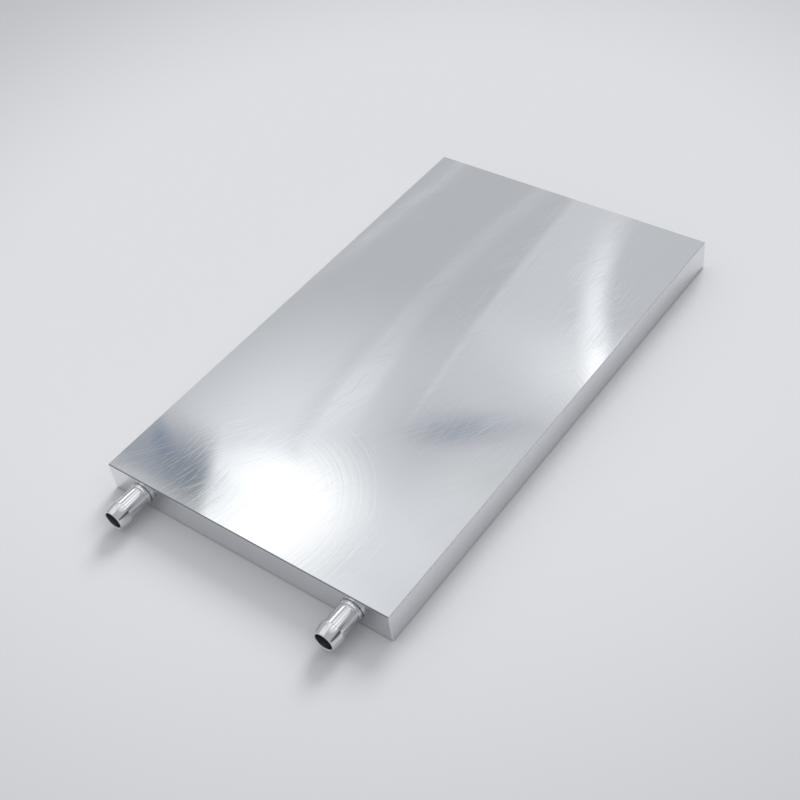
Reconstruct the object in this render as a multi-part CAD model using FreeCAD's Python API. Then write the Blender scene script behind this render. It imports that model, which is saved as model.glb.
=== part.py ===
"""Liquid cooling cold plate: a vacuum-brazed aluminium slab with a coolant channel inside and two hose tails.

Millimetres. The origin is the middle of the slab's underside: +Z points up through the thermal face,
+Y runs along the slab away from the hose tails, and +X runs across it, from the inlet to the outlet.

A channel that doubles back between ribs is milled into the underside of the slab. A folded fin lies in each
straight pass, and a flat lid is let into a ledge round the channel and brazed flush. A turned hose tail
screws into each of the two ports in the end face, down onto an O-ring in its seat.
"""

import os

import FreeCAD, Part
from FreeCAD import Vector

# Slab
PLATE_LENGTH = 250.0
PLATE_WIDTH = 150.0
PLATE_THICKNESS = 15.0
EDGE_CHAMFER = 0.4

# Coolant channel, milled from the underside
PASS_COUNT = 6
RIB_WIDTH = 4.0
CHANNEL_DEPTH = 8.0
SIDE_WALL = 9.2
PORT_END_WALL = 16.0
FAR_END_WALL = 9.2
CUTTER_RADIUS = 4.0

# Lid, let into the underside
LID_THICKNESS = 3.5
LEDGE_WIDTH = 4.0
LID_CORNER_RADIUS = 6.0
LID_CLEARANCE = 0.05

# Folded fins, one in each pass
FIN_SHEET = 0.3
FIN_PITCH = 4.4
FIN_BEND_RADIUS = 0.4
FIN_BEND_POINTS = 3
FIN_SIDE_CLEARANCE = 0.2
FIN_END_CLEARANCE = 1.0

# Port in the end face
PORT_THREAD_RADIUS = 4.85
PORT_DEPTH = 10.5
PASSAGE_RADIUS = 3.5
SPOT_FACE_RADIUS = 5.8
SPOT_FACE_DEPTH = 0.2
SEAL_SEAT_RADIUS = 5.05
SEAL_SEAT_DEPTH = 0.9

# O-ring, squeezed so that its round section has flats
SEAL_SECTION = 0.9
SEAL_FLAT = 0.4

# Hose tail
SHANK_LENGTH = 9.5
SHANK_END_CHAMFER = 0.5
SHANK_BORE_RADIUS = 3.5
COLLAR_RADIUS = 5.25
COLLAR_LENGTH = 2.2
COLLAR_CHAMFER = 0.3
GROOVE_DEPTH = 0.5
GROOVE_WIDTH = 0.6
TUBE_RADIUS = 5.0
TUBE_LENGTH = 9.2
BARB_RADIUS = 5.7
BARB_LAND = 0.5
BARB_BACK_RISE = 0.3
NOSE_LENGTH = 5.4
NOSE_BULGE = 0.18
NOSE_TIP_RADIUS = 4.85
TIP_EDGE = 0.15
HOSE_BORE_RADIUS = 4.0
MOUTH_FLARE = 0.3
MOUTH_FLARE_LENGTH = 0.3

# Places that follow from the sizes above
HALF_LENGTH = PLATE_LENGTH / 2
HALF_WIDTH = PLATE_WIDTH / 2
FIELD_WIDTH = PLATE_WIDTH - 2 * SIDE_WALL
PASS_WIDTH = (FIELD_WIDTH - (PASS_COUNT - 1) * RIB_WIDTH) / PASS_COUNT
PASS_PITCH = PASS_WIDTH + RIB_WIDTH
TURN_LENGTH = PASS_WIDTH
CHANNEL_NEAR = -HALF_LENGTH + PORT_END_WALL
CHANNEL_FAR = HALF_LENGTH - FAR_END_WALL
CHANNEL_BOTTOM = LID_THICKNESS
CHANNEL_TOP = CHANNEL_BOTTOM + CHANNEL_DEPTH
PORT_X = (PASS_COUNT - 1) * PASS_PITCH / 2
PORT_Z = (CHANNEL_BOTTOM + CHANNEL_TOP) / 2
SPOT_FACE_Y = -HALF_LENGTH + SPOT_FACE_DEPTH
RELIEF_RADIUS = SEAL_SEAT_RADIUS - SEAL_SECTION
LEFT, RIGHT = -1, 1


def pass_centre(index):
    """The X of a pass's middle, counted from the inlet side."""
    return (index - (PASS_COUNT - 1) / 2) * PASS_PITCH


def rounded_block(low, high, corner_radius):
    """A block between two corners, with its four upright edges rounded."""
    size = high - low
    block = Part.makeBox(size.x, size.y, size.z, low)
    upright = [
        edge
        for edge in block.Edges
        if abs(edge.tangentAt(edge.FirstParameter).z) > 0.99
    ]
    return block.makeFillet(corner_radius, upright)


def port_cylinder(radius, start_y, length, x):
    """A cylinder on a port's axis, from start_y towards the far end of the slab."""
    return Part.makeCylinder(radius, length, Vector(x, start_y, PORT_Z), Vector(0, 1, 0))


def channel():
    """The space that the cutter takes: every pass, the turns that join them, and a round nose on each rib."""
    passes = [
        rounded_block(
            Vector(pass_centre(i) - PASS_WIDTH / 2, CHANNEL_NEAR, CHANNEL_BOTTOM),
            Vector(pass_centre(i) + PASS_WIDTH / 2, CHANNEL_FAR, CHANNEL_TOP),
            CUTTER_RADIUS,
        )
        for i in range(PASS_COUNT)
    ]
    turns = []
    noses = []
    for i in range(PASS_COUNT - 1):
        at_far_end = i % 2 == 0
        turn_start = CHANNEL_FAR - TURN_LENGTH if at_far_end else CHANNEL_NEAR
        rib_end = turn_start if at_far_end else turn_start + TURN_LENGTH
        turns.append(
            rounded_block(
                Vector(pass_centre(i) - PASS_WIDTH / 2, turn_start, CHANNEL_BOTTOM),
                Vector(pass_centre(i + 1) + PASS_WIDTH / 2, turn_start + TURN_LENGTH, CHANNEL_TOP),
                CUTTER_RADIUS,
            )
        )
        rib_x = (pass_centre(i) + pass_centre(i + 1)) / 2
        noses.append(
            Part.makeCylinder(RIB_WIDTH / 2, CHANNEL_DEPTH, Vector(rib_x, rib_end, CHANNEL_BOTTOM))
        )
    space = passes[0].multiFuse(passes[1:] + turns)
    return space.cut(noses).removeSplitter()


def lid_block(clearance):
    """The lid's own block, or with no clearance the recess that it drops into."""
    reach = FIELD_WIDTH / 2 + LEDGE_WIDTH - clearance
    return rounded_block(
        Vector(-reach, CHANNEL_NEAR - LEDGE_WIDTH + clearance, 0),
        Vector(reach, CHANNEL_FAR + LEDGE_WIDTH - clearance, LID_THICKNESS),
        LID_CORNER_RADIUS - clearance,
    )


def port_space(x):
    """What is drilled out for one port: spot face, O-ring seat, tapped hole and passage into the channel."""
    spot_face = port_cylinder(SPOT_FACE_RADIUS, -HALF_LENGTH - 1, 1 + SPOT_FACE_DEPTH, x)
    seat = port_cylinder(SEAL_SEAT_RADIUS, SPOT_FACE_Y, SEAL_SEAT_DEPTH, x)
    thread = port_cylinder(PORT_THREAD_RADIUS, SPOT_FACE_Y, PORT_DEPTH, x)
    passage_end = CHANNEL_NEAR + CUTTER_RADIUS
    passage = port_cylinder(PASSAGE_RADIUS, SPOT_FACE_Y, passage_end - SPOT_FACE_Y, x)
    return spot_face.multiFuse([seat, thread, passage])


def plate_body():
    """The slab with its edges broken, its channel, its lid recess and its two ports."""
    blank = Part.makeBox(
        PLATE_WIDTH, PLATE_LENGTH, PLATE_THICKNESS, Vector(-HALF_WIDTH, -HALF_LENGTH, 0)
    )
    slab = blank.makeChamfer(EDGE_CHAMFER, blank.Edges)
    ports = [port_space(side * PORT_X) for side in (LEFT, RIGHT)]
    return slab.cut([channel(), lid_block(0)] + ports).removeSplitter()


def closing_lid():
    """The flat lid, flush with the underside and brazed to the ledge and to the ribs."""
    return lid_block(LID_CLEARANCE)


def bent_outline(corners):
    """A closed wire through right-angled corners, each a point and the radius of its bend, 0 for a sharp one."""
    points = []
    for i, (corner, radius) in enumerate(corners):
        if not radius:
            points.append(corner)
            continue
        to_before = (corners[i - 1][0] - corner).normalize()
        to_after = (corners[(i + 1) % len(corners)][0] - corner).normalize()
        middle = corner + (to_before + to_after) * (radius * (1 - 0.5**0.5))
        bend = Part.Arc(corner + to_before * radius, middle, corner + to_after * radius)
        points += bend.discretize(FIN_BEND_POINTS)
    return Part.makePolygon(points + points[:1])


def fin_pack(index):
    """A strip folded into square waves across one pass, brazed to the channel's roof and to the lid."""
    half_sheet = FIN_SHEET / 2
    half_pitch = FIN_PITCH / 2
    fold_count = int((PASS_WIDTH - 2 * FIN_SIDE_CLEARANCE - FIN_SHEET) / half_pitch)
    first_web = pass_centre(index) - fold_count * half_pitch / 2
    last_web = first_web + fold_count * half_pitch
    near = CHANNEL_NEAR + TURN_LENGTH + FIN_END_CLEARANCE
    far = CHANNEL_FAR - TURN_LENGTH - FIN_END_CLEARANCE
    outer_radius = FIN_BEND_RADIUS + FIN_SHEET

    # One face of the strip is followed to its far side and the other face is followed back.
    out = [(Vector(first_web - half_sheet, near, CHANNEL_BOTTOM), 0)]
    back = [(Vector(first_web + half_sheet, near, CHANNEL_BOTTOM), 0)]
    for fold in range(fold_count):
        web = first_web + fold * half_pitch
        next_web = web + half_pitch
        at_roof = fold % 2 == 0
        outside_z = CHANNEL_TOP if at_roof else CHANNEL_BOTTOM
        inside_z = CHANNEL_TOP - FIN_SHEET if at_roof else CHANNEL_BOTTOM + FIN_SHEET
        outside = [
            (Vector(web - half_sheet, near, outside_z), outer_radius),
            (Vector(next_web + half_sheet, near, outside_z), outer_radius),
        ]
        inside = [
            (Vector(web + half_sheet, near, inside_z), FIN_BEND_RADIUS),
            (Vector(next_web - half_sheet, near, inside_z), FIN_BEND_RADIUS),
        ]
        out += outside if at_roof else inside
        back += inside if at_roof else outside
    ends_at_roof = fold_count % 2 == 0
    end_z = CHANNEL_TOP if ends_at_roof else CHANNEL_BOTTOM
    out_side = -half_sheet if ends_at_roof else half_sheet
    out.append((Vector(last_web + out_side, near, end_z), 0))
    back.append((Vector(last_web - out_side, near, end_z), 0))

    profile = Part.Face(bent_outline(out + back[::-1]))
    return profile.extrude(Vector(0, far - near, 0))


def hose_tail(x):
    """A turned fitting: threaded shank, O-ring relief, collar, grooved tube and one barb with a tapered nose."""
    collar_back = SPOT_FACE_Y
    collar_front = collar_back - COLLAR_LENGTH
    tube_start = collar_front - GROOVE_WIDTH
    barb_back = tube_start - TUBE_LENGTH
    land_start = barb_back - BARB_BACK_RISE
    nose_start = land_start - BARB_LAND
    tip = nose_start - NOSE_LENGTH
    shank_end = collar_back + SHANK_LENGTH
    groove_radius = TUBE_RADIUS - GROOVE_DEPTH
    bore_step = HOSE_BORE_RADIUS - SHANK_BORE_RADIUS

    def at(radius, y):
        return Vector(x + radius, y, PORT_Z)

    outside = [
        at(SHANK_BORE_RADIUS, shank_end),
        at(PORT_THREAD_RADIUS - SHANK_END_CHAMFER, shank_end),
        at(PORT_THREAD_RADIUS, shank_end - SHANK_END_CHAMFER),
        at(PORT_THREAD_RADIUS, collar_back + SEAL_SEAT_DEPTH),
        at(RELIEF_RADIUS, collar_back + SEAL_SEAT_DEPTH),
        at(RELIEF_RADIUS, collar_back),
        at(COLLAR_RADIUS - COLLAR_CHAMFER, collar_back),
        at(COLLAR_RADIUS, collar_back - COLLAR_CHAMFER),
        at(COLLAR_RADIUS, collar_front + COLLAR_CHAMFER),
        at(COLLAR_RADIUS - COLLAR_CHAMFER, collar_front),
        at(groove_radius, collar_front),
        at(groove_radius, tube_start),
        at(TUBE_RADIUS, tube_start),
        at(TUBE_RADIUS, barb_back),
        at(BARB_RADIUS, land_start),
        at(BARB_RADIUS, nose_start),
    ]
    nose_middle = at(
        (BARB_RADIUS + NOSE_TIP_RADIUS) / 2 + NOSE_BULGE, (nose_start + tip + TIP_EDGE) / 2
    )
    inside = [
        nose_middle,
        at(NOSE_TIP_RADIUS, tip + TIP_EDGE),
        at(NOSE_TIP_RADIUS - TIP_EDGE, tip),
        at(HOSE_BORE_RADIUS + MOUTH_FLARE, tip),
        at(HOSE_BORE_RADIUS, tip + MOUTH_FLARE_LENGTH),
        at(HOSE_BORE_RADIUS, tube_start - bore_step),
        at(SHANK_BORE_RADIUS, tube_start),
        at(SHANK_BORE_RADIUS, shank_end),
    ]
    section = Part.Face(Part.makePolygon(outside + inside + outside[:1]))
    return section.revolve(Vector(x, 0, PORT_Z), Vector(0, 1, 0), 360)


def o_ring(x):
    """The seal, squeezed lengthways by the collar and across by its seat and the relief of the hose tail."""
    middle_radius = RELIEF_RADIUS + SEAL_SECTION / 2
    middle_y = SPOT_FACE_Y + SEAL_SEAT_DEPTH / 2
    half_width = SEAL_SECTION / 2
    half_length = SEAL_SEAT_DEPTH / 2
    half_flat = SEAL_FLAT / 2
    corners = [
        (half_width, 0),
        (half_flat, half_length),
        (-half_flat, half_length),
        (-half_width, 0),
        (-half_flat, -half_length),
        (half_flat, -half_length),
    ]
    points = [Vector(x + middle_radius + out, middle_y + along, PORT_Z) for out, along in corners]
    section = Part.Face(Part.makePolygon(points + points[:1]))
    return section.revolve(Vector(x, 0, PORT_Z), Vector(0, 1, 0), 360)


def nodes():
    """Every piece by its name."""
    pieces = {"plate_body": plate_body(), "closing_lid": closing_lid()}
    for i in range(PASS_COUNT):
        pieces[f"fin_pack_{i + 1}"] = fin_pack(i)
    for name, side in (("inlet", LEFT), ("outlet", RIGHT)):
        pieces[f"{name}_hose_tail"] = hose_tail(side * PORT_X)
        pieces[f"{name}_o_ring"] = o_ring(side * PORT_X)
    return pieces


os.makedirs("parts", exist_ok=True)
for node, shape in nodes().items():
    shape.exportStep(f"parts/{node}.step")
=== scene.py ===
"""The looks of the liquid cooling cold plate: its metals, its turned hose tails, the studio and the camera.

Metres in the part's frame, with sizes of the object and of its finish named in millimetres.
"""

import math

import bmesh
import bpy
from mathutils import Matrix, Vector


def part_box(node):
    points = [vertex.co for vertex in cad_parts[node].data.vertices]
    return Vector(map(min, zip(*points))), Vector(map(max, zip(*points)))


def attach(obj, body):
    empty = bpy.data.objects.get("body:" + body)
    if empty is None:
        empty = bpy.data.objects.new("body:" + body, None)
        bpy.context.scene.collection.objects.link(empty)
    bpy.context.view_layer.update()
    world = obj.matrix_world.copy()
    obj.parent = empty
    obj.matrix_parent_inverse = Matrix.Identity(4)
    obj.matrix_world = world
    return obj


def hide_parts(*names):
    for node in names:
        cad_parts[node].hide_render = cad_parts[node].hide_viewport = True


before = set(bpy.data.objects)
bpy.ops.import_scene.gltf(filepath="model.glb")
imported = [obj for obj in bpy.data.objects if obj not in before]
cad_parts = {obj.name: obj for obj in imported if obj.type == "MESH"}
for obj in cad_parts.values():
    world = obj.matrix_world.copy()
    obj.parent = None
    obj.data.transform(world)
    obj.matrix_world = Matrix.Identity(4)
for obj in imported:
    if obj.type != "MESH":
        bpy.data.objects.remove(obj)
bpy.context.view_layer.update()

MM = 0.001
FACE_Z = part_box("plate_body")[1].z

# Camera, aimed at a point on the thermal face
CAMERA_AZIMUTH = math.radians(42.9)
CAMERA_ELEVATION = math.radians(44.9)
CAMERA_ROLL = math.radians(-9.2)
CAMERA_DISTANCE = 0.5633
CAMERA_LENS = 58.95
CAMERA_AIM = Vector((0.0113, -0.0314, FACE_Z))

# The cutter marks are arcs about these points, on the thermal face and on the lid
SWIRL_CENTRE = Vector((-0.013, -0.112, 0.0))
LID_SWIRL_CENTRE = Vector((0.0, -0.2, 0.0))

# Finish of the slab and the lid: how far apart its marks are and how long they run
COARSE_ARC_SPACING = 1.7
FINE_ARC_SPACING = 0.8
ARC_PATCH_SIZE = 22
SCRATCH_WIDTH = 0.3
SCRATCH_LENGTH = 35
MILLING_SPACING = 0.4
SMUDGE_SIZE = 18
WAVE_LENGTH = 70
# Three sets of scratches: lean in degrees, and a shift in metres that keeps their patterns apart
SCRATCH_SETS = ((4, 0.1), (-16, 0.4), (-38, 0.7))

# How nearly a surface faces one way, from 0 to 1: a flat face, a broken edge, an upright edge, a long edge
FLAT_FACE = 0.9
BROKEN_EDGE = 0.85
UPRIGHT_EDGE = 0.3
UPPER_LONG_EDGE = 0.2

# Every broken edge is this rough
EDGE_ROUGHNESS = 0.5

# Hose tail: radii, and places counted outwards from the back of its collar
SHANK_END = -9.5
SHANK_BORE = 3.5
THREAD_CREST = 4.83
THREAD_ROOT = 4.3
THREAD_PITCH = 1.0
THREAD_START = -1.4
THREAD_SINK = 0.05
THREAD_STEPS = 36
SEAL_RELIEF = 4.15
SEAL_WIDTH = 0.9
COLLAR = 5.25
COLLAR_LENGTH = 2.2
GROOVE = 4.5
GROOVE_WIDTH = 0.6
TUBE = 5.0
BARB = 5.7
BARB_LAND = 0.5
BARB_BACK = 0.3
NOSE_LENGTH = 5.4
NOSE_TIP = 4.85
NOSE_BULGE = 0.18
BORE = 4.0
BORE_REACH = BORE + 0.05
MOUTH = 4.3
MOUTH_DEPTH = 0.3
EDGE_BREAK = 0.3
EDGE_ROUND = 0.07
TURN_STEPS = 128
NOSE_STEPS = 10

# Half the width of the rolled thread at its root and at its crest, as shares of its pitch
ROOT_SHARE = 0.44
CREST_SHARE = 0.07

# The room's even light, the least that a dark patch leaves, and the lowest direction that is told apart
BASE_LIGHT = (0.51, 0.525, 0.55)
DARKEST = 0.04
LOWEST_RISE = 0.05
# Strip lights fade out between these distances from the middle of the thermal face
STRIPS_FULL = 180
STRIPS_GONE = 320

# Shadow lamp: the side that it shines from, its width and its power
LAMP_SIDE = Vector((-0.17, 0.82, 0.58))
LAMP_ANGLE = math.radians(26)
LAMP_POWER = 1.7

# Floor: half its side, the middle of its painted bright part, and where that starts and ends falling into
# painted shade
FLOOR_REACH = 12.0
FLOOR_MIDDLE = (-0.06, 0.06, 0.0)
FLOOR_BRIGHT = 0.18
FLOOR_SHADED = 0.45

# The studio as the thermal face shows it to the camera, in millimetres on that face.
# Soft patches: centre, reach along their own two axes, turn in degrees, share that is flat, light added.
PATCHES = [
    ((10, -370), (280, 265), 0, 0.82, (0.42, 0.42, 0.40)),
    ((-330, 330), (330, 260), 0, 0.75, (1.1, 1.1, 1.1)),
    ((-270, 60), (150, 200), 0, 0.5, (0.8, 0.8, 0.8)),
    ((420, -60), (340, 270), 0, 0.8, (0.30, 0.30, 0.30)),
    ((140, -70), (44, 190), 0, 0.5, (0.6, 0.6, 0.6)),
    ((350, -80), (60, 220), 0, 0.5, (0.6, 0.6, 0.6)),
    ((570, -30), (70, 220), 0, 0.5, (0.6, 0.6, 0.6)),
    ((2600, 440), (1900, 1300), 18, 0.75, (-0.41, -0.42, -0.44)),
    ((-540, -1150), (260, 320), 0, 0.5, (0.6, 0.6, 0.6)),
    ((-28, -78), (76, 118), 0, 0.0, (0.30, 0.30, 0.30)),
    ((5, -106), (46, 48), 0, 0.2, (0.46, 0.46, 0.44)),
    ((-8, -38), (10, 45), 0, 0.2, (0.05, 0.05, 0.05)),
    ((50, -100), (80, 62), 0, 0.1, (0.27, 0.27, 0.27)),
    ((45, 2), (62, 48), 0, 0.1, (0.09, 0.09, 0.09)),
    ((80, 22), (48, 42), 0, 0.1, (0.18, 0.18, 0.17)),
    ((46, -31), (38, 15), 33, 0.0, (-0.19, -0.175, -0.15)),
    ((70, -50), (38, 38), 0, 0.2, (0.11, 0.11, 0.10)),
    ((-82, -122), (54, 42), 0, 0.2, (-0.17, -0.17, -0.16)),
    ((-50, -137), (62, 24), 0, 0.2, (0.22, 0.21, 0.19)),
    ((-66, -101), (20, 6), -40, 0.1, (-0.12, -0.10, -0.06)),
    ((-50, -108), (46, 24), 0, 0.1, (0.0, 0.02, 0.03)),
    ((-20, -93), (22, 12), 25, 0.6, (0.12, 0.12, 0.12)),
    ((-8, -80), (8, 4), -50, 0.2, (-0.12, -0.12, -0.12)),
]
# Strip lights: place across the face at its middle, slope and bow along it, how far each side reaches,
# light, light beyond its right side, and where it starts and is full along the face
STRIPS = [
    (-74.6, 0.0955, 0.0, 5, 4, 0.15, 0.0, -20, 60),
    (-25.5, -0.088, 0.00093, 7, 4, -0.05, 0.0, 10, -25),
    (-19.6, -0.088, 0.00093, 2, 3, 0.05, 0.06, -90, -50),
    (-8.2, -0.17, 0.00138, 3, 3, 0.0, -0.05, -90, -50),
    (16.1, -0.135, 0.00032, 2, 3, 0.07, 0.03, -60, -20),
    (16.1, -0.135, 0.00032, 3, 3, 0.0, 0.10, -5, 35),
    (95.5, -0.8335, 0.00259, 13, 9, 0.42, 0.0, 160, 30),
    (95.5, -0.8335, 0.00259, 13, 9, 0.0, -0.08, 0, 50),
    (-99.0, -0.594, 0.0, 50, 7, -0.50, 0.0, -80, -110),
]


# ---------------------------------------------------------------- helpers


def linear(hex_colour):
    """An sRGB hex colour as a linear RGBA value."""
    channels = [int(hex_colour[i : i + 2], 16) / 255 for i in (1, 3, 5)]
    return [c / 12.92 if c <= 0.04045 else ((c + 0.055) / 1.055) ** 2.4 for c in channels] + [1.0]


def add(tree, kind, inputs=None, output=0, **settings):
    """Adds a node with its settings, fills or links its inputs, and returns one of its outputs."""
    node = tree.nodes.new(kind)
    for name, value in settings.items():
        setattr(node, name, value)
    for socket, value in (inputs or {}).items():
        if isinstance(value, bpy.types.NodeSocket):
            tree.links.new(value, node.inputs[socket])
        else:
            node.inputs[socket].default_value = value
    return node.outputs[output] if node.outputs else None


def new_material(name):
    """An empty material, as its node tree and the material."""
    material = bpy.data.materials.new(name)
    material.use_nodes = True
    material.node_tree.nodes.clear()
    return material.node_tree, material


def dress(piece, material):
    """Gives every face of a piece one material."""
    piece.data.materials.clear()
    piece.data.materials.append(material)


def finished(name, bm, materials):
    """A new piece from a closed bmesh: normals out, smooth but for its sharp edges, riding on the slab."""
    bmesh.ops.remove_doubles(bm, verts=bm.verts, dist=1e-6)
    bmesh.ops.recalc_face_normals(bm, faces=bm.faces)
    mesh = bpy.data.meshes.new(name)
    bm.to_mesh(mesh)
    bm.free()
    mesh.shade_smooth()
    mesh.set_sharp_from_angle(angle=math.radians(40))
    piece = bpy.data.objects.new(name, mesh)
    bpy.context.scene.collection.objects.link(piece)
    for material in materials:
        mesh.materials.append(material)
    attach(piece, "root")
    return piece


# ---------------------------------------------------------------- metals


def fly_cut_aluminium(name, swirl_centre):
    """Aluminium faced with one sharp cutter: nearly bright, with fine arcs that drag its reflections.

    The sides are milled along their length and keep straight lines. The edges are broken with a file.
    """
    tree, material = new_material(name)
    place = add(tree, "ShaderNodeTexCoord", output="Object")
    normal = add(tree, "ShaderNodeTexCoord", output="Normal")
    upward = add(tree, "ShaderNodeSeparateXYZ", {0: normal}, output="Z")
    flatness = add(tree, "ShaderNodeMath", {0: upward}, operation="ABSOLUTE")
    on_face = add(tree, "ShaderNodeMath", {0: flatness, 1: FLAT_FACE}, operation="GREATER_THAN")

    # A broken edge is rougher than a face: no one direction holds nearly all of its normal.
    facing = add(tree, "ShaderNodeVectorMath", {0: normal}, operation="ABSOLUTE")
    facing_x = add(tree, "ShaderNodeSeparateXYZ", {0: facing}, output="X")
    facing_y = add(tree, "ShaderNodeSeparateXYZ", {0: facing}, output="Y")
    widest = add(tree, "ShaderNodeMath", {0: facing_x, 1: facing_y}, operation="MAXIMUM")
    squareness = add(tree, "ShaderNodeMath", {0: widest, 1: flatness}, operation="MAXIMUM")
    on_edge = add(tree, "ShaderNodeMath", {0: squareness, 1: BROKEN_EDGE}, operation="LESS_THAN")
    # The lower edges and the end edges are painted dark grey as painted shade, for the dark lines along
    # them; the two long upper edges and the upright ones keep the bright colour.
    long_and_upper = add(tree, "ShaderNodeMath", {0: facing_x, 1: upward}, operation="MULTIPLY")
    not_long = add(tree, "ShaderNodeMath", {0: long_and_upper, 1: UPPER_LONG_EDGE}, operation="LESS_THAN")
    not_upright = add(tree, "ShaderNodeMath", {0: flatness, 1: UPRIGHT_EDGE}, operation="GREATER_THAN")
    painted_shade_kinds = add(tree, "ShaderNodeMath", {0: not_long, 1: not_upright}, operation="MULTIPLY")
    painted_shade_edges = add(tree, "ShaderNodeMath", {0: painted_shade_kinds, 1: on_edge}, operation="MULTIPLY")

    from_centre = add(tree, "ShaderNodeVectorMath", {0: place, 1: swirl_centre}, operation="SUBTRACT")
    spoke = add(
        tree, "ShaderNodeVectorMath", {0: from_centre, 1: (1.0, 1.0, 0.0)}, operation="MULTIPLY"
    )
    radius = add(tree, "ShaderNodeVectorMath", {0: spoke}, output="Value", operation="LENGTH")

    # Cutter arcs. Real ones are about 0.1 mm apart, too fine to show, so they are drawn 1.7 and 0.8 mm
    # apart.
    coarse_arcs = add(
        tree,
        "ShaderNodeTexNoise",
        {"W": radius, "Scale": 1 / (COARSE_ARC_SPACING * MM), "Detail": 1.0, "Roughness": 0.6},
        noise_dimensions="1D",
    )
    fine_arcs = add(
        tree,
        "ShaderNodeTexNoise",
        {"W": radius, "Scale": 1 / (FINE_ARC_SPACING * MM), "Detail": 1.0, "Roughness": 0.6},
        noise_dimensions="1D",
    )
    # They are deeper in patches and where the cutter dwells near its centre, and shallow at the centre.
    patchy = add(
        tree, "ShaderNodeTexNoise", {"Vector": place, "Scale": 1 / (ARC_PATCH_SIZE * MM), "Detail": 3.0}
    )
    patch_depth = add(
        tree,
        "ShaderNodeMapRange",
        {"Value": patchy, "From Min": 0.4, "From Max": 0.65, "To Min": 0.15, "To Max": 0.7},
    )
    dwell = add(
        tree,
        "ShaderNodeMapRange",
        {"Value": radius, "From Min": 45 * MM, "From Max": 75 * MM, "To Min": 1.15, "To Max": 0.6},
    )
    open_middle = add(
        tree,
        "ShaderNodeMapRange",
        {"Value": radius, "From Min": 22 * MM, "From Max": 36 * MM, "To Min": 0.15, "To Max": 1.0},
    )
    dwell_depth = add(tree, "ShaderNodeMath", {0: patch_depth, 1: dwell}, operation="MULTIPLY")
    arc_depth = add(tree, "ShaderNodeMath", {0: dwell_depth, 1: open_middle}, operation="MULTIPLY")
    arcs = add(tree, "ShaderNodeMath", {0: fine_arcs, 1: 0.5, 2: coarse_arcs}, operation="MULTIPLY_ADD")
    face_relief = add(tree, "ShaderNodeMath", {0: arcs, 1: arc_depth}, operation="MULTIPLY")

    # Handling scratches, long and nearly straight. Real ones are a few hundredths of a millimetre wide, too
    # fine to show, so they are drawn 0.3 mm wide.
    for lean, shift in SCRATCH_SETS:
        scratch_place = add(
            tree,
            "ShaderNodeMapping",
            {
                "Vector": place,
                "Location": (shift, shift, 0.0),
                "Rotation": (0.0, 0.0, math.radians(lean)),
                "Scale": (SCRATCH_WIDTH * MM, SCRATCH_LENGTH * MM, 1.0),
            },
            vector_type="TEXTURE",
        )
        lines = add(tree, "ShaderNodeTexNoise", {"Vector": scratch_place, "Scale": 1.0, "Detail": 0.0})
        scratches = add(
            tree,
            "ShaderNodeMapRange",
            {"Value": lines, "From Min": 0.68, "From Max": 0.85, "To Min": 0.0, "To Max": 0.32},
        )
        face_relief = add(
            tree, "ShaderNodeMath", {0: face_relief, 1: scratches}, operation="SUBTRACT"
        )

    # Milling lines run along the sides, 0.4 mm apart up their height.
    stretched = add(
        tree, "ShaderNodeVectorMath", {0: place, 1: (0.02, 0.02, 1.0)}, operation="MULTIPLY"
    )
    milling = add(
        tree,
        "ShaderNodeTexNoise",
        {"Vector": stretched, "Scale": 1 / (MILLING_SPACING * MM), "Detail": 2.0, "Roughness": 0.6},
    )
    side_relief = add(tree, "ShaderNodeMath", {0: milling, 1: 0.4}, operation="MULTIPLY")
    relief = add(
        tree,
        "ShaderNodeMix",
        {"Factor": on_face, "A": side_relief, "B": face_relief},
        data_type="FLOAT",
    )

    # The faced surface is hollow and proud by a few micrometres over some centimetres.
    waves = add(
        tree, "ShaderNodeTexNoise", {"Vector": place, "Scale": 1 / (WAVE_LENGTH * MM), "Detail": 1.0}
    )
    waviness = add(
        tree, "ShaderNodeBump", {"Height": waves, "Distance": 60e-6, "Strength": 1.0}
    )
    bump = add(
        tree,
        "ShaderNodeBump",
        {"Height": relief, "Distance": 6e-6, "Strength": 1.0, "Normal": waviness},
    )

    # Reflections are dragged outwards across the arcs, and up the height of the sides.
    drag_face = add(tree, "ShaderNodeVectorMath", {0: spoke}, operation="NORMALIZE")
    drag = add(
        tree,
        "ShaderNodeMix",
        {"Factor": on_face, "A": (0.0, 0.0, 1.0), "B": drag_face},
        output="Result",
        data_type="VECTOR",
    )
    smudges = add(
        tree,
        "ShaderNodeTexNoise",
        {"Vector": place, "Scale": 1 / (SMUDGE_SIZE * MM), "Detail": 4.0, "Roughness": 0.6},
    )
    face_gloss = add(
        tree,
        "ShaderNodeMapRange",
        {"Value": smudges, "From Min": 0.3, "From Max": 0.75, "To Min": 0.028, "To Max": 0.042},
    )
    side_gloss = add(
        tree,
        "ShaderNodeMapRange",
        {"Value": milling, "From Min": 0.3, "From Max": 0.7, "To Min": 0.10, "To Max": 0.16},
    )
    flat_roughness = add(
        tree,
        "ShaderNodeMix",
        {"Factor": on_face, "A": side_gloss, "B": face_gloss},
        data_type="FLOAT",
    )
    roughness = add(
        tree,
        "ShaderNodeMix",
        {"Factor": on_edge, "A": flat_roughness, "B": EDGE_ROUGHNESS},
        data_type="FLOAT",
    )
    # The milled sides are a little darker than the faced top: partly their duller cut, partly painted
    # shade.
    flat_colour = add(
        tree,
        "ShaderNodeMix",
        {"Factor": on_face, "A": linear("#E6E7EA"), "B": linear("#EEEFF1")},
        output="Result",
        data_type="RGBA",
    )
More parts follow.
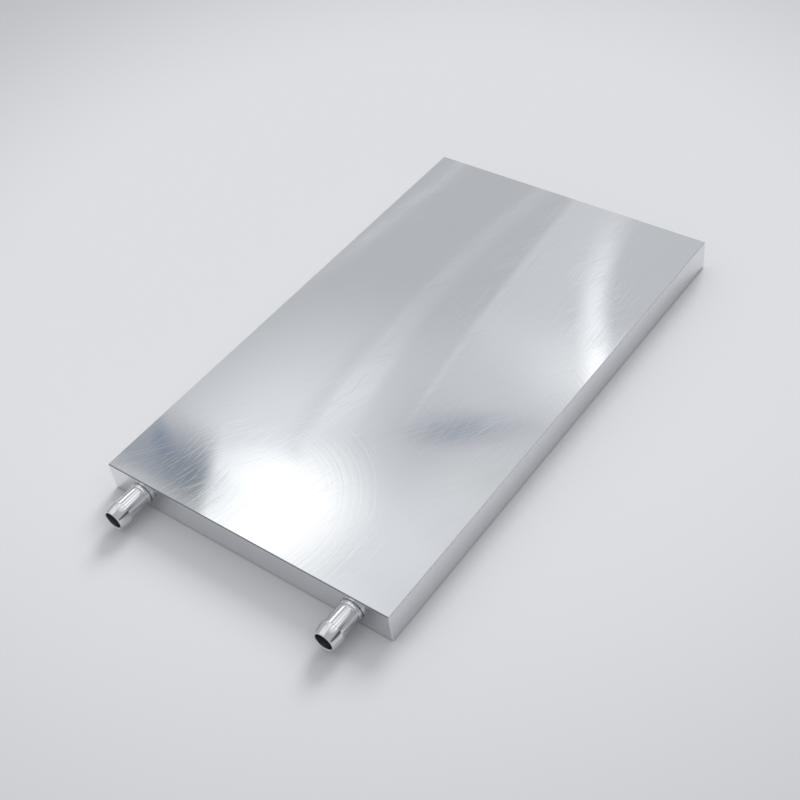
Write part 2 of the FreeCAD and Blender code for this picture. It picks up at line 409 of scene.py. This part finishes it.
    # The lower and end edges take a dark grey here: painted shade, not the metal's own colour.
    colour = add(
        tree,
        "ShaderNodeMix",
        {"Factor": painted_shade_edges, "A": flat_colour, "B": linear("#949599")},
        output="Result",
        data_type="RGBA",
    )
    shader = add(
        tree,
        "ShaderNodeBsdfPrincipled",
        {
            "Base Color": colour,
            "Metallic": 1.0,
            "Roughness": roughness,
            "Anisotropic": 0.6,
            "Tangent": drag,
            "Normal": bump,
        },
    )
    add(tree, "ShaderNodeOutputMaterial", {"Surface": shader})
    return material


def turned_steel():
    """Stainless steel turned on a lathe and polished: mirror bright, with very fine rings round it."""
    tree, material = new_material("turned_polished_stainless_steel")
    place = add(tree, "ShaderNodeTexCoord", output="Object")
    along = add(tree, "ShaderNodeSeparateXYZ", {0: place}, output="Y")
    rings = add(
        tree,
        "ShaderNodeTexNoise",
        {"W": along, "Scale": 1 / (0.2 * MM), "Detail": 2.0, "Roughness": 0.7},
        noise_dimensions="1D",
    )
    bump = add(tree, "ShaderNodeBump", {"Height": rings, "Distance": 0.8e-6, "Strength": 1.0})
    roughness = add(
        tree,
        "ShaderNodeMapRange",
        {"Value": rings, "From Min": 0.3, "From Max": 0.7, "To Min": 0.08, "To Max": 0.13},
    )
    shader = add(
        tree,
        "ShaderNodeBsdfPrincipled",
        {
            "Base Color": linear("#E0E0E2"),
            "Metallic": 1.0,
            "Roughness": roughness,
            "Anisotropic": 0.4,
            "Tangent": (0.0, 1.0, 0.0),
            "Normal": bump,
        },
    )
    add(tree, "ShaderNodeOutputMaterial", {"Surface": shader})
    return material


def drilled_bore_painted_shade():
    """Drilled stainless steel for the bore, painted dark grey as shade inside it, with coarse rings that
    take the shine away.
    """
    tree, material = new_material("drilled_stainless_steel_bore_with_painted_shade")
    place = add(tree, "ShaderNodeTexCoord", output="Object")
    along = add(tree, "ShaderNodeSeparateXYZ", {0: place}, output="Y")
    rings = add(
        tree,
        "ShaderNodeTexNoise",
        {"W": along, "Scale": 1 / (0.5 * MM), "Detail": 2.0, "Roughness": 0.7},
        noise_dimensions="1D",
    )
    # These dark greys are painted shade, for the light that does not reach into the bore.
    colour = add(
        tree,
        "ShaderNodeMix",
        {"Factor": rings, "A": linear("#6C6C6E"), "B": linear("#88888A")},
        output="Result",
        data_type="RGBA",
    )
    bump = add(tree, "ShaderNodeBump", {"Height": rings, "Distance": 20e-6, "Strength": 1.0})
    shader = add(
        tree,
        "ShaderNodeBsdfPrincipled",
        {"Base Color": colour, "Metallic": 1.0, "Roughness": 0.4, "Normal": bump},
    )
    add(tree, "ShaderNodeOutputMaterial", {"Surface": shader})
    return material


def brazed_fin_sheet():
    """Rolled aluminium sheet after brazing: dull, with the rolling grain along the strip."""
    tree, material = new_material("rolled_brazed_aluminium_sheet")
    place = add(tree, "ShaderNodeTexCoord", output="Object")
    stretched = add(
        tree, "ShaderNodeVectorMath", {0: place, 1: (1.0, 0.03, 1.0)}, operation="MULTIPLY"
    )
    grain = add(
        tree,
        "ShaderNodeTexNoise",
        {"Vector": stretched, "Scale": 1 / (0.3 * MM), "Detail": 3.0, "Roughness": 0.6},
    )
    colour = add(
        tree,
        "ShaderNodeMix",
        {"Factor": grain, "A": linear("#C4C5C7"), "B": linear("#D8D9DA")},
        output="Result",
        data_type="RGBA",
    )
    roughness = add(
        tree,
        "ShaderNodeMapRange",
        {"Value": grain, "From Min": 0.3, "From Max": 0.7, "To Min": 0.35, "To Max": 0.5},
    )
    bump = add(tree, "ShaderNodeBump", {"Height": grain, "Distance": 2e-6, "Strength": 1.0})
    shader = add(
        tree,
        "ShaderNodeBsdfPrincipled",
        {"Base Color": colour, "Metallic": 1.0, "Roughness": roughness, "Normal": bump},
    )
    add(tree, "ShaderNodeOutputMaterial", {"Surface": shader})
    return material


def seal_rubber():
    """Moulded nitrile rubber: black, matt, with a faint bloom."""
    tree, material = new_material("moulded_nitrile_rubber")
    place = add(tree, "ShaderNodeTexCoord", output="Object")
    bloom = add(
        tree,
        "ShaderNodeTexNoise",
        {"Vector": place, "Scale": 1 / (1.5 * MM), "Detail": 4.0, "Roughness": 0.6},
    )
    colour = add(
        tree,
        "ShaderNodeMix",
        {"Factor": bloom, "A": linear("#161617"), "B": linear("#232324")},
        output="Result",
        data_type="RGBA",
    )
    bump = add(tree, "ShaderNodeBump", {"Height": bloom, "Distance": 8e-6, "Strength": 1.0})
    shader = add(
        tree,
        "ShaderNodeBsdfPrincipled",
        {"Base Color": colour, "Roughness": 0.62, "Normal": bump},
    )
    add(tree, "ShaderNodeOutputMaterial", {"Surface": shader})
    return material


# ---------------------------------------------------------------- hose tails


def tail_section():
    """The cut through one side of a hose tail, as (radius, place) corners and the curved nose."""
    groove_end = COLLAR_LENGTH + GROOVE_WIDTH
    tail_length = (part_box("inlet_hose_tail")[1].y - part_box("inlet_hose_tail")[0].y) / MM
    tip = tail_length + SHANK_END
    nose_start = tip - NOSE_LENGTH
    land_start = nose_start - BARB_LAND
    nose = []
    for step in range(1, NOSE_STEPS):
        share = step / NOSE_STEPS
        radius = BARB + (NOSE_TIP - BARB) * share + 4 * NOSE_BULGE * share * (1 - share)
        nose.append((radius, nose_start + (NOSE_LENGTH - EDGE_BREAK / 2) * share))
    return [
        (SHANK_BORE, SHANK_END),
        (THREAD_ROOT - EDGE_BREAK, SHANK_END),
        (THREAD_ROOT, SHANK_END + EDGE_BREAK),
        (THREAD_ROOT, -SEAL_WIDTH),
        (SEAL_RELIEF, -SEAL_WIDTH),
        (SEAL_RELIEF, 0.0),
        (COLLAR - EDGE_BREAK, 0.0),
        (COLLAR, EDGE_BREAK),
        (COLLAR, COLLAR_LENGTH - EDGE_BREAK),
        (COLLAR - EDGE_BREAK, COLLAR_LENGTH),
        (GROOVE, COLLAR_LENGTH),
        (GROOVE, groove_end),
        (TUBE, groove_end),
        (TUBE, land_start - BARB_BACK),
        (BARB, land_start),
        (BARB, nose_start),
        *nose,
        (NOSE_TIP, tip - EDGE_BREAK / 2),
        (NOSE_TIP - EDGE_BREAK / 2, tip),
        (MOUTH, tip),
        (BORE, tip - MOUTH_DEPTH),
        (BORE, groove_end + BORE - SHANK_BORE),
        (SHANK_BORE, groove_end),
    ]


def hose_tail(name, node, material, shaded_bore_material):
    """One turned hose tail: its section spun round the port's axis, with a rolled thread on its shank."""
    low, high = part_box(node)
    axis = Vector(((low.x + high.x) / 2, high.y + SHANK_END * MM, (low.z + high.z) / 2))
    bm = bmesh.new()

    corners = [
        bm.verts.new(axis + Vector((radius * MM, -place * MM, 0.0)))
        for radius, place in tail_section()
    ]
    for corner, next_corner in zip(corners, corners[1:] + corners[:1]):
        bm.edges.new((corner, next_corner))
    bmesh.ops.bevel(
        bm,
        geom=corners,
        offset=EDGE_ROUND * MM,
        offset_type="OFFSET",
        segments=2,
        profile=0.5,
        affect="VERTICES",
        material=-1,
    )
    bmesh.ops.spin(
        bm,
        geom=bm.verts[:] + bm.edges[:],
        cent=axis,
        axis=(0.0, 1.0, 0.0),
        angle=2 * math.pi,
        steps=TURN_STEPS,
        use_merge=True,
    )

    # The faces of the bore take the second material, with its painted shade.
    for face in bm.faces:
        from_axis = face.calc_center_median() - axis
        if math.hypot(from_axis.x, from_axis.z) < BORE_REACH * MM:
            face.material_index = 1

    thread_start = axis + Vector((0.0, -THREAD_START * MM, 0.0))
    turns = int((THREAD_START - SHANK_END) / THREAD_PITCH - 1)
    half_root = ROOT_SHARE * THREAD_PITCH
    half_crest = CREST_SHARE * THREAD_PITCH
    profile = [
        bm.verts.new(thread_start + Vector((radius * MM, place * MM, 0.0)))
        for radius, place in (
            (THREAD_ROOT - THREAD_SINK, -half_root),
            (THREAD_CREST, -half_crest),
            (THREAD_CREST, half_crest),
            (THREAD_ROOT - THREAD_SINK, half_root),
        )
    ]
    thread_cut = bm.faces.new(profile)
    bmesh.ops.spin(
        bm,
        geom=profile + thread_cut.edges[:] + [thread_cut],
        cent=thread_start,
        axis=(0.0, 1.0, 0.0),
        dvec=(0.0, THREAD_PITCH * MM / THREAD_STEPS, 0.0),
        angle=2 * math.pi * turns,
        steps=THREAD_STEPS * turns,
        use_merge=False,
    )
    piece = finished(name, bm, [material, shaded_bore_material])
    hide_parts(node)
    return piece


# ---------------------------------------------------------------- studio


def camera_turn():
    """The camera's rotation from its azimuth, elevation and roll."""
    return (
        Matrix.Rotation(CAMERA_AZIMUTH, 4, "Z")
        @ Matrix.Rotation(math.pi / 2 - CAMERA_ELEVATION, 4, "X")
        @ Matrix.Rotation(CAMERA_ROLL, 4, "Z")
    )


def place_camera():
    """The camera, at its distance from the point that it is aimed at. Returns its place."""
    data = bpy.data.cameras.new("camera")
    data.lens = CAMERA_LENS
    data.sensor_width = 36.0
    data.clip_end = 50.0
    camera = bpy.data.objects.new("camera", data)
    bpy.context.scene.collection.objects.link(camera)
    turn = camera_turn()
    backwards = turn @ Vector((0.0, 0.0, 1.0))
    camera.matrix_world = Matrix.Translation(CAMERA_AIM + backwards * CAMERA_DISTANCE) @ turn
    bpy.context.scene.camera = camera
    return CAMERA_AIM + backwards * CAMERA_DISTANCE


def studio_light(camera_place):
    """The world: an even pale room with soft bright and dark patches and narrow strip lights."""
    world = bpy.data.worlds.new("studio")
    bpy.context.scene.world = world
    world.use_nodes = True
    tree = world.node_tree
    tree.nodes.clear()
    direction = add(tree, "ShaderNodeTexCoord", output="Generated")
    climb = add(tree, "ShaderNodeSeparateXYZ", {0: direction}, output="Z")
    upwards = add(tree, "ShaderNodeMath", {0: climb, 1: LOWEST_RISE}, operation="MAXIMUM")
    slope = add(tree, "ShaderNodeVectorMath", {0: direction, 1: upwards}, operation="DIVIDE")

    # Where on the thermal face, in millimetres, each direction of the room is mirrored to the camera's
    # first place. It stays there when the camera moves.
    height = (camera_place.z - FACE_Z) / MM
    seen_at = add(
        tree,
        "ShaderNodeVectorMath",
        {
            0: slope,
            1: (height, height, 0.0),
            2: (camera_place.x / MM, camera_place.y / MM, 0.0),
        },
        operation="MULTIPLY_ADD",
    )
    red, green, blue = BASE_LIGHT
    light = add(tree, "ShaderNodeCombineXYZ", {"X": red, "Y": green, "Z": blue})
    from_middle = add(tree, "ShaderNodeVectorMath", {0: seen_at}, output="Value", operation="LENGTH")
    on_the_face = add(
        tree,
        "ShaderNodeMapRange",
        {
            "Value": from_middle,
            "From Min": STRIPS_FULL,
            "From Max": STRIPS_GONE,
            "To Min": 1.0,
            "To Max": 0.0,
        },
        interpolation_type="SMOOTHSTEP",
    )
    across = add(tree, "ShaderNodeSeparateXYZ", {0: seen_at}, output="X")
    along = add(tree, "ShaderNodeSeparateXYZ", {0: seen_at}, output="Y")

    for middle, lean, bow, left, right, core, step, start, full in STRIPS:
        leaning = add(tree, "ShaderNodeMath", {0: along, 1: bow, 2: lean}, operation="MULTIPLY_ADD")
        line = add(tree, "ShaderNodeMath", {0: along, 1: leaning, 2: middle}, operation="MULTIPLY_ADD")
        offset = add(tree, "ShaderNodeMath", {0: across, 1: line}, operation="SUBTRACT")
        rise = add(
            tree,
            "ShaderNodeMapRange",
            {"Value": offset, "From Min": -left, "From Max": 0.0, "To Max": core},
            interpolation_type="SMOOTHSTEP",
        )
        fall = add(
            tree,
            "ShaderNodeMapRange",
            {"Value": offset, "From Min": 0.0, "From Max": right, "To Min": 1.0, "To Max": 0.0},
            interpolation_type="SMOOTHSTEP",
        )
        beyond = add(
            tree,
            "ShaderNodeMapRange",
            {"Value": offset, "From Min": -left, "From Max": right, "To Max": step},
            interpolation_type="SMOOTHSTEP",
        )
        both = add(tree, "ShaderNodeMath", {0: rise, 1: fall, 2: beyond}, operation="MULTIPLY_ADD")
        extent = add(
            tree,
            "ShaderNodeMapRange",
            {"Value": along, "From Min": start, "From Max": full},
            interpolation_type="SMOOTHSTEP",
        )
        ended = add(tree, "ShaderNodeMath", {0: both, 1: extent}, operation="MULTIPLY")
        strip_light = add(tree, "ShaderNodeMath", {0: ended, 1: on_the_face}, operation="MULTIPLY")
        light = add(tree, "ShaderNodeVectorMath", {0: light, 1: strip_light}, operation="ADD")

    for centre, reach, turn, flat_share, colour in PATCHES:
        inside = add(
            tree,
            "ShaderNodeMapping",
            {
                "Vector": seen_at,
                "Location": (*centre, 0.0),
                "Rotation": (0.0, 0.0, math.radians(turn)),
                "Scale": (*reach, 1.0),
            },
            vector_type="TEXTURE",
        )
        distance = add(tree, "ShaderNodeVectorMath", {0: inside}, output="Value", operation="LENGTH")
        share = add(
            tree,
            "ShaderNodeMapRange",
            {"Value": distance, "From Min": flat_share, "From Max": 1.0, "To Min": 1.0, "To Max": 0.0},
            interpolation_type="SMOOTHSTEP",
        )
        light = add(
            tree, "ShaderNodeVectorMath", {0: share, 1: colour, 2: light}, operation="MULTIPLY_ADD"
        )

    least = (DARKEST, DARKEST, DARKEST)
    room_light = add(tree, "ShaderNodeVectorMath", {0: light, 1: least}, operation="MAXIMUM")
    background = add(tree, "ShaderNodeBackground", {"Color": room_light, "Strength": 1.0})
    add(tree, "ShaderNodeOutputWorld", {"Surface": background})


def shadow_lamp():
    """A broad soft lamp behind the slab: it gives the floor its shadow and isn't seen in the metal."""
    data = bpy.data.lights.new("shadow_lamp", "SUN")
    data.angle = LAMP_ANGLE
    data.energy = LAMP_POWER
    lamp = bpy.data.objects.new("shadow_lamp", data)
    bpy.context.scene.collection.objects.link(lamp)
    lamp.visible_glossy = False
    lamp.matrix_world = LAMP_SIDE.to_track_quat("Z", "Y").to_matrix().to_4x4()


def studio_floor():
    """A wide matt paper floor, painted bright round the slab and painted into soft shade further out."""
    bm = bmesh.new()
    bmesh.ops.create_grid(bm, x_segments=1, y_segments=1, size=FLOOR_REACH)
    mesh = bpy.data.meshes.new("floor")
    bm.to_mesh(mesh)
    bm.free()
    floor = bpy.data.objects.new("floor", mesh)
    bpy.context.scene.collection.objects.link(floor)
    tree, material = new_material("matt_grey_paper")
    place = add(tree, "ShaderNodeTexCoord", output="Object")
    from_middle = add(tree, "ShaderNodeVectorMath", {0: place, 1: FLOOR_MIDDLE}, operation="SUBTRACT")
    away = add(tree, "ShaderNodeVectorMath", {0: from_middle}, output="Value", operation="LENGTH")
    # The paper's colour darkens away from the middle: painted shade, not the paper's own colour.
    painted_floor_shade = add(
        tree,
        "ShaderNodeMapRange",
        {"Value": away, "From Min": FLOOR_BRIGHT, "From Max": FLOOR_SHADED},
        interpolation_type="SMOOTHSTEP",
    )
    colour = add(
        tree,
        "ShaderNodeMix",
        {"Factor": painted_floor_shade, "A": linear("#DEDEDF"), "B": linear("#BEBEC0")},
        output="Result",
        data_type="RGBA",
    )
    shader = add(tree, "ShaderNodeBsdfPrincipled", {"Base Color": colour, "Roughness": 0.9})
    add(tree, "ShaderNodeOutputMaterial", {"Surface": shader})
    dress(floor, material)


# ---------------------------------------------------------------- the scene

bpy.context.scene.view_settings.view_transform = "Standard"
camera_place = place_camera()
studio_light(camera_place)
shadow_lamp()
studio_floor()

slab_metal = fly_cut_aluminium("fly_cut_aluminium", SWIRL_CENTRE)
lid_metal = fly_cut_aluminium("fly_cut_aluminium_lid", LID_SWIRL_CENTRE)
steel = turned_steel()
shaded_bore_steel = drilled_bore_painted_shade()
sheet_metal = brazed_fin_sheet()
rubber = seal_rubber()

dress(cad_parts["plate_body"], slab_metal)
dress(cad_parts["closing_lid"], lid_metal)
for node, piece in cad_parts.items():
    if node.startswith("fin_pack"):
        dress(piece, sheet_metal)
    if node.endswith("o_ring"):
        dress(piece, rubber)
for side in ("inlet", "outlet"):
    hose_tail(f"{side}_turned_tail", f"{side}_hose_tail", steel, shaded_bore_steel)
